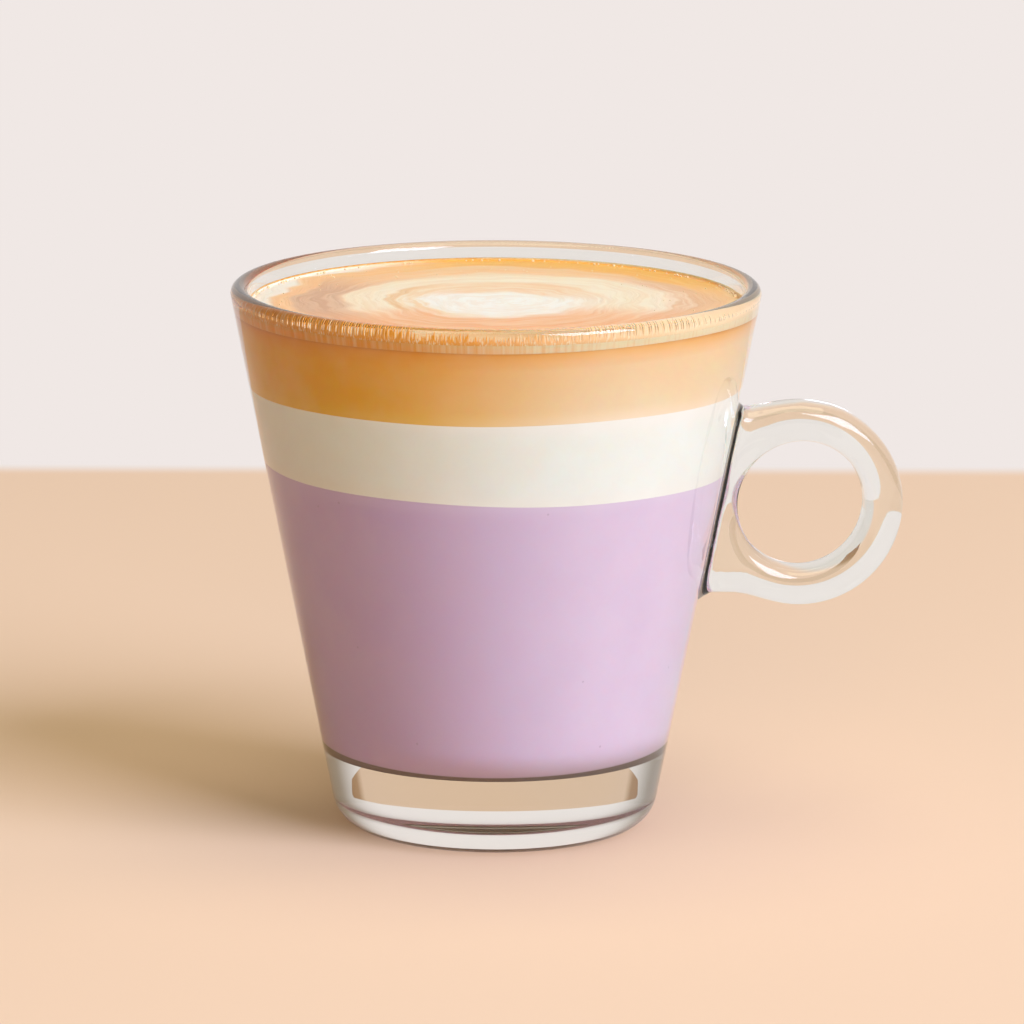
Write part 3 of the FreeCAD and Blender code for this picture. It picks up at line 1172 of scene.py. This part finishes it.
@dataclass
class Foam:
    """What the foam leaves at the drink's edge: a ragged film on the glass, and bubbles.

    The film is high at the front and a thin line at the back, and its upper edge is a sum of
    waves, each given by how many times it goes round and its height. Its section is given by
    shares of its height and of its depth, up the glass and down again.
    """

    cup: GlassCup
    level: float
    film_low: float = 0.1
    film_high: float = 1.4
    film_top: float = 1.6
    film_foot: float = 0.1
    film_depth: float = 0.14
    film_sink: float = 0.05
    front_half: float = 0.35
    ragged: tuple[tuple[int, float], ...] = (
        (7, 0.06), (23, 0.06), (61, 0.05), (190, 0.08), (430, 0.12), (620, 0.14),
    )
    section: tuple[tuple[float, float], ...] = (
        (0.0, 0.0), (0.5, 0.0), (1.0, 0.0), (1.02, 0.5), (0.8, 1.0), (0.3, 1.0), (0.0, 1.0),
    )
    steps: int = 2400
    edge_bubbles: int = 200
    loose_bubbles: int = 130
    edge_size: tuple[float, float] = (0.08, 0.26)
    loose_size: tuple[float, float] = (0.06, 0.17)
    edge_gap: tuple[float, float] = (0.75, 0.2)
    loose_reach: tuple[float, float] = (26.0, 38.6)
    edge_height: float = 0.2
    edge_lift: float = 0.12
    loose_lift: float = 0.02
    small_bias: float = 2.2
    seed: int = 7

    def film(self, material: Material) -> Object:
        """Make the film: a thin closed band on the inner wall whose upper edge is ragged.

        Args:
            material: Its finish.

        Returns:
            The piece, seated.
        """
        turn = np.arange(self.steps) * 2 * math.pi / self.steps
        noise = np.random.default_rng(self.seed)
        ragged = np.zeros(self.steps)
        for count, size in self.ragged:
            ragged += size * np.sin(count * turn + noise.uniform(0, 2 * math.pi))
        front = np.clip((self.front_half - np.sin(turn)) / (2 * self.front_half), 0, 1)
        front = front * front * (3 - 2 * front)
        rise = self.film_low + front * (self.film_high - self.film_low + ragged)
        rise = np.clip(rise, self.film_low, self.film_top)
        bottom, top = self.level - self.film_foot, self.level + rise
        rows = []
        for share, depth in self.section:
            height = bottom + (top - bottom) * share
            radius = self.cup.wall_radius(height, Face.INSIDE) + self.film_sink - depth * self.film_depth
            rows.append(np.stack([radius * np.cos(turn), radius * np.sin(turn), height], 1))
        count, n = len(rows), self.steps
        faces = [
            (i * n + j, i * n + (j + 1) % n, (i + 1) % count * n + (j + 1) % n, (i + 1) % count * n + j)
            for i in range(count) for j in range(n)
        ]
        piece = add_piece("foam_film", np.concatenate(rows), faces, material)
        seat(piece, "crema")
        return piece

    def bubbles(self, name: str, count: int, reach: tuple[float, float], size: tuple[float, float],
                lift: float, material: Material) -> Object:
        """Scatter bubbles round the drink's edge or over its surface with Geometry Nodes.

        Args:
            name: The piece's name.
            count: How many bubbles.
            reach: Smallest and largest distance from the cup's axis.
            size: Smallest and largest radius of a bubble.
            lift: Height of the bubbles' middles above the drink's surface.
            material: Their finish.

        Returns:
            The piece, seated.
        """
        tree = self.bubble_tree(material)
        holder = put(name + "_seed", bpy.data.meshes.new(name + "_seed"))
        modifier = holder.modifiers.new("scatter", "NODES")
        modifier.node_group = tree
        values = {
            "Count": count, "Inner Reach": reach[0] * MM, "Outer Reach": reach[1] * MM,
            "Smallest": size[0] * MM, "Largest": size[1] * MM, "Height": (self.level + lift) * MM,
            "Seed": self.seed + count,
        }
        for item in tree.interface.items_tree:
            if item.item_type == "SOCKET" and item.in_out == "INPUT":
                modifier[item.identifier] = values[item.name]
        holder.update_tag()
        graph = bpy.context.evaluated_depsgraph_get()
        baked = bpy.data.meshes.new_from_object(holder.evaluated_get(graph))
        holder.modifiers.remove(modifier)
        bpy.data.objects.remove(holder)
        baked.name = name
        baked.polygons.foreach_set("use_smooth", [True] * len(baked.polygons))
        piece = put(name, baked)
        seat(piece, "crema")
        return piece

    def bubble_tree(self, material: Material) -> NodeTree:
        """Build the tree that scatters small balls over a flat ring, most of them small.

        Args:
            material: The bubbles' finish.

        Returns:
            The tree, with its sizes as named inputs.
        """
        tree = bpy.data.node_groups.new("bubble_ring", "GeometryNodeTree")
        for name, kind, value in (
            ("Count", "NodeSocketInt", 100), ("Inner Reach", "NodeSocketFloat", 0.03),
            ("Outer Reach", "NodeSocketFloat", 0.04), ("Smallest", "NodeSocketFloat", 0.0001),
            ("Largest", "NodeSocketFloat", 0.0003), ("Height", "NodeSocketFloat", 0.08),
            ("Seed", "NodeSocketInt", 0),
        ):
            socket = tree.interface.new_socket(name, in_out="INPUT", socket_type=kind)
            socket.default_value = value
        tree.interface.new_socket("Geometry", in_out="OUTPUT", socket_type="NodeSocketGeometry")
        add = partial(add_node, tree)
        given = add("NodeGroupInput").outputs
        points = add("GeometryNodePoints", {"Count": given["Count"]})
        turn, reach, chance = (
            add("FunctionNodeRandomValue", {
                "Min": low, "Max": high,
                "Seed": add("Math", {0: given["Seed"], 1: apart}, operation="ADD"),
            }, data_type="FLOAT")
            for low, high, apart in (
                (0.0, 2 * math.pi, 0.0), (given["Inner Reach"], given["Outer Reach"], 11.0), (0.0, 1.0, 23.0),
            )
        )
        x, y = (
            add("Math", {0: reach, 1: add("Math", {0: turn}, operation=part)}, operation="MULTIPLY")
            for part in ("COSINE", "SINE")
        )
        place = add("CombineXYZ", {"X": x, "Y": y, "Z": given["Height"]})
        placed = add("GeometryNodeSetPosition", {"Geometry": points, "Position": place})
        mostly_small = add("Math", {0: chance, 1: self.small_bias}, operation="POWER")
        size = add("MapRange", {
            "Value": mostly_small, "To Min": given["Smallest"], "To Max": given["Largest"],
        })
        ball = add("GeometryNodeMeshUVSphere", {"Segments": 8, "Rings": 5, "Radius": 1.0})
        spread = add("GeometryNodeInstanceOnPoints", {
            "Points": placed, "Instance": ball, "Scale": size,
        })
        real = add("GeometryNodeRealizeInstances", {0: spread})
        dressed = add("GeometryNodeSetMaterial", {"Geometry": real, "Material": material})
        add("NodeGroupOutput", {0: dressed})
        return tree

    def build(self, film: Material, bubble: Material) -> None:
        """Make the film, the bubbles along the glass and the few loose ones.

        Args:
            film: The film's finish.
            bubble: The bubbles' finish.
        """
        self.film(film)
        edge = self.cup.wall_radius(self.level + self.edge_height, Face.INSIDE)
        along = tuple(edge - gap for gap in self.edge_gap)
        self.bubbles("foam_bubbles_at_glass", self.edge_bubbles, along, self.edge_size,
                     self.edge_lift, bubble)
        self.bubbles("foam_bubbles_loose", self.loose_bubbles, self.loose_reach, self.loose_size,
                     self.loose_lift, bubble)


# ---------------------------------------------------------------- stage, lights, camera


@dataclass(frozen=True)
class Lamp:
    """A square soft lamp that faces the cup.

    Its azimuth, from the camera's side towards +X, and its elevation are degrees, its size is
    its side, and its power is watts in red, green and blue. Surfaces mirror it where it is seen,
    and glass shows it where it is also seen through.
    """

    name: str
    azimuth: float
    elevation: float
    size: float
    power: tuple[float, float, float]
    seen: bool = True
    through: bool = True


@dataclass
class Studio:
    """A plain pale floor, soft light and the camera.

    The azimuth turns the camera round the cup, and the floor's lines, the card and the lamps
    with it. Bearings are degrees from the camera's right, with 90 away from it. The floor changes
    its tone past two straight lines: the far edge, and the slab's, which only the glass shows.
    The sky is bright within an angle of straight ahead, and dim past another.
    """

    target: tuple[float, float, float] = (2.655, 0.0, 51.2)
    distance: float = 1284.0
    elevation: float = 11.62
    azimuth: float = -6.0
    lens: float = 280.6
    sensor: float = 36.0
    roll: float = 0.16
    clip: tuple[float, float] = (0.05, 50.0)
    floor_half: float = 6000.0
    floor_near: str = "EECBB1"
    floor_far: str = "F0E8E5"
    floor_bounce: str = "D6B6A0"
    edge: float = 290.0
    edge_soft: float = 6.0
    # Painted light: reach and softness of the glow on the floor under the cup, seen through the glass.
    painted_glow_reach: float = 29.0
    painted_glow_soft: float = 5.0
    card_reach: float = 130.0
    card_height: float = 13.5
    card_spread: float = 39.0
    card_columns: int = 49
    # Floor tone in the middle, painted shade as dark brown towards the card's ends.
    card_tones_and_shade: tuple[tuple[float, str], ...] = (
        (0.78, "A07A58"), (0.83, "A88462"), (0.86, "DDBFA5"), (1.0, "DDBEA2"),
    )
    room: str = "9A8E80"
    bright_to: float = 32.0
    dim_from: float = 62.0
    slab: str = "DCD2CC"
    slab_bearing: float = -22.7
    slab_offset: float = 25.0
    slab_soft: float = 8.0
    sky_fill: str = "F6E9DC"
    sky_strength: float = 0.03
    lamp_distance: float = 3000.0
    lamps_face: float = 50.0
    lamps: tuple[Lamp, ...] = (
        Lamp("key", 48.5, 38, 1700, (74.0, 84.5, 108.0)),
        Lamp("side", 105, 15, 1500, (20.0, 15.0, 9.0), seen=False),
        Lamp("top", 0, 90, 2500, (46.0, 46.5, 35.0), through=False),
        Lamp("front", -5, 25, 1700, (21.0, 18.5, 12.0), seen=False),
    )

    def camera(self) -> None:
        """Place the camera, turned round the cup so that the handle points a little away from it."""
        pitch, turn = math.radians(self.elevation), math.radians(self.azimuth)
        spin = Matrix.Rotation(turn, 4, "Z")
        back = Vector((0, -math.cos(pitch), math.sin(pitch)))
        data = bpy.data.cameras.new("camera")
        data.lens, data.sensor_width = self.lens, self.sensor
        data.clip_start, data.clip_end = self.clip
        camera = put("camera", data)
        camera.location = spin @ (Vector(self.target) + back * self.distance) * MM
        look = (spin @ -back).to_track_quat("-Z", "Y")
        camera.rotation_mode = "QUATERNION"
        camera.rotation_quaternion = look @ Matrix.Rotation(math.radians(self.roll), 4, "Z").to_quaternion()
        bpy.context.scene.camera = camera

    def past_line(self, add: Adder, parts: Node, bearing: float, offset: float, soft: float) -> Node:
        """Tell whether a point of the floor lies past a straight line.

        Args:
            add: Adds a node to the floor's tree.
            parts: The node that splits the place into its coordinates.
            bearing: Direction from the line to what is past it.
            offset: Distance of the line from the origin in that direction.
            soft: How far the change reaches on each side of the line.

        Returns:
            A node that gives 0 before the line and 1 past it.
        """
        east, north, _ = heading(bearing + self.azimuth)
        across = add("Math", {
            0: parts.outputs["X"], 1: east, 2: -offset * MM,
        }, operation="MULTIPLY_ADD")
        past = add("Math", {0: parts.outputs["Y"], 1: north, 2: across}, operation="MULTIPLY_ADD")
        return add("MapRange", {
            "Value": past, "From Min": -soft * MM, "From Max": soft * MM,
        }, interpolation_type="SMOOTHSTEP")

    def floor(self) -> None:
        """A level floor: pale birch-toned near the cup, the pale wall's colour far behind it, and a painted
        glow under the cup that only the glass shows.
        """
        material, add = new_material("floor_matt_paint")
        place = add("TexCoord").outputs["Object"]
        parts = add("SeparateXYZ", {0: place})
        far = self.past_line(add, parts, 90.0, self.edge, self.edge_soft)
        slab = self.past_line(add, parts, self.slab_bearing, self.slab_offset, self.slab_soft)
        # Painted light: near the cup's axis, rays through the glass see the floor glow as pale as its far
        # part, for light the glass lets through.
        under = add("MapRange", {
            "Value": add("VectorMath", {0: place}, operation="LENGTH"),
            "From Min": self.painted_glow_reach * MM, "From Max": (self.painted_glow_reach - self.painted_glow_soft) * MM,
        }, interpolation_type="SMOOTHSTEP")
        path = add("LightPath")
        rays = path.outputs
        unseen = add("Math", {0: 1.0, 1: rays["Is Camera Ray"]}, operation="SUBTRACT")
        grey = add("Math", {0: slab, 1: unseen}, operation="MULTIPLY")
        bounced = add("Mix", {
            "Factor": rays["Is Diffuse Ray"], "A": linear(self.floor_near), "B": linear(self.floor_bounce),
        }, data_type="RGBA")
        near = add("Mix", {"Factor": grey, "A": bounced, "B": linear(self.slab)}, data_type="RGBA")
        matt = add("BsdfDiffuse", {"Color": near})
        shown = add("Emission", {"Color": linear(self.floor_far), "Strength": 1.0})
        pale = add("BsdfDiffuse", {"Color": linear(self.floor_far)})
        distant = add("MixShader", {0: shows_background(add, path), 1: pale, 2: shown})
        # Rays through the glass see the painted glow under the cup; past the far edge the floor is the pale
        # background.
        lit = add("Math", {
            0: under, 1: rays["Is Transmission Ray"], 2: far,
        }, operation="MULTIPLY_ADD", use_clamp=True)
        mixed = add("MixShader", {0: lit, 1: matt, 2: distant})
        add("OutputMaterial", {"Surface": mixed})
        half = self.floor_half
        corners = np.array([(-half, -half, 0), (half, -half, 0), (half, half, 0), (-half, half, 0)], float)
        add_piece("floor", corners, [(0, 1, 2, 3)], material)

    def card(self) -> None:
        """Stand a low curved card behind the cup: only its glass shows it, as the floor's far part."""
        material, add = new_material("card_birch_tone")
        back = 90 + self.azimuth
        outwards = add("VectorMath", {0: add("TexCoord").outputs["Object"]}, operation="NORMALIZE")
        behind = add("VectorMath", {0: outwards, 1: heading(back)}, operation="DOT_PRODUCT")
        # Painted shade: the card turns dark brown towards its two ends, for floor in shade that the glass's
        # sides show.
        tones = add("ValToRGB", {"Fac": behind})
        set_ramp(tones, list(self.card_tones_and_shade))
        shown = add("Emission", {"Color": tones, "Strength": 1.0})
        add("OutputMaterial", {"Surface": shown})
        material.cycles.emission_sampling = "NONE"
        count = self.card_columns
        turn = np.radians(back + np.linspace(-self.card_spread, self.card_spread, count))
        x, y = self.card_reach * np.cos(turn), self.card_reach * np.sin(turn)
        points = np.concatenate([
            np.stack([x, y, np.full(count, height)], 1) for height in (0.0, self.card_height)
        ])
        faces = [(i + 1, i, count + i, count + i + 1) for i in range(count - 1)]
        card = add_piece("card", points, faces, material)
        card.visible_camera = card.visible_diffuse = card.visible_glossy = card.visible_shadow = False

    def hang(self, lamp: Lamp) -> None:
        """Hang a lamp where it faces the cup's middle.

        Args:
            lamp: The lamp.
        """
        turn, pitch = math.radians(lamp.azimuth + self.azimuth), math.radians(lamp.elevation)
        out = Vector((math.sin(turn) * math.cos(pitch), -math.cos(turn) * math.cos(pitch), math.sin(pitch)))
        data = bpy.data.lights.new(lamp.name, "AREA")
        data.size, data.energy = lamp.size * MM, max(lamp.power)
        data.color = [part / max(lamp.power) for part in lamp.power]
        hung = put(lamp.name, data)
        hung.location = (out * self.lamp_distance + Vector((0, 0, self.lamps_face))) * MM
        hung.rotation_mode = "QUATERNION"
        hung.rotation_quaternion = (-out).to_track_quat("-Z", "Y")
        hung.visible_camera = False
        hung.visible_glossy, hung.visible_transmission = lamp.seen, lamp.seen and lamp.through

    def world(self) -> None:
        """A dim even sky for the lamps' shadows, and a pale one where the glass mirrors it."""
        world = bpy.data.worlds.new("studio")
        world.use_nodes = True
        world.node_tree.nodes.clear()
        add = partial(add_node, world.node_tree)
        path = add("LightPath")
        fill = add("Background", {"Color": linear(self.sky_fill), "Strength": self.sky_strength})
        towards = add("VectorMath", {
            0: add("TexCoord").outputs["Generated"], 1: heading(90 + self.azimuth),
        }, operation="DOT_PRODUCT")
        bright = add("MapRange", {
            "Value": towards, "From Min": math.cos(math.radians(self.dim_from)),
            "From Max": math.cos(math.radians(self.bright_to)),
        }, interpolation_type="SMOOTHSTEP")
        wall = add("Mix", {
            "Factor": bright, "A": linear(self.room), "B": linear(self.floor_far),
        }, data_type="RGBA")
        around = add("Mix", {
            "Factor": path.outputs["Is Camera Ray"], "A": wall, "B": linear(self.floor_far),
        }, data_type="RGBA")
        shown = add("Background", {"Color": around, "Strength": 1.0})
        mixed = add("MixShader", {0: shows_background(add, path), 1: fill, 2: shown})
        add("OutputWorld", {"Surface": mixed})
        bpy.context.scene.world = world

    def build(self) -> None:
        """Set the whole stage."""
        self.camera()
        self.floor()
        self.card()
        self.world()
        for lamp in self.lamps:
            self.hang(lamp)
        bpy.context.scene.view_settings.view_transform = "Standard"


def main() -> None:
    """Build every piece in order, then the stage."""
    logging.basicConfig(level=logging.INFO, format="%(message)s")
    glass_low, glass_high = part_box("glass_cup")
    cup = GlassCup(
        height=glass_high.z / MM,
        rim_radius=(glass_high.y - glass_low.y) / 2 / MM,
        reach=glass_high.x / MM,
    )
    levels = {layer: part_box(layer.value)[1].z / MM for layer in Layer}
    drink = Drink(cup=cup, bottom=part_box(Layer.UBE.value)[0].z / MM, levels=levels)
    levels[Layer.CREMA] -= drink.meniscus
    cup.build(PressedGlass().make())
    finishes = {
        Layer.UBE: MilkDrink(
            "ube_milk_drink", ((0.0, "E4CBE1"), (10.0, "E5CDE3"), (46.0, "E5CCE1")), 47.0,
            (1.0, 0.7, 0.7), 1.0, "DCC0DA", 0.4, shade_tint="E9DDF6", pinhole="A98BA6",
        ),
        Layer.MILK: MilkDrink(
            "steamed_milk", ((0.0, "F6EDE4"), (3.0, "F9F0E9"), (13.0, "FAF0E7")), 13.4,
            (1.0, 0.8, 0.7), 1.0, "FFF9F4", 0.4,
        ),
        Layer.COFFEE: MilkDrink(
            "milk_coffee", ((0.0, "FBDDBE"), (1.5, "FBD9B4"), (9.0, "FBD0A4"), (10.4, "F8C088"),
                            (11.5, "F2AE62"), (12.0, "E29440")), 12.0,
            (1.0, 0.6, 0.3), 1.2, "F8C898", 0.3, shade_tint="F6D22E",
        ),
        Layer.CREMA: LatteArt(turned=-Studio.azimuth),
    }
    for layer, finish in finishes.items():
        drink.build(layer, finish.make())
    film = MilkFoam("coffee_foam_film", "FBD9B0", "F19A30", 1.0, 0.2, upright=0.15, pale_below=0.31)
    bubble = MilkFoam("coffee_foam_bubble", "FBDDB4", "E59F4E", 0.8, 1.5)
    Foam(cup=cup, level=levels[Layer.CREMA]).build(film.make(), bubble.make())
    Studio().build()


if __name__ == "__main__":
    main()
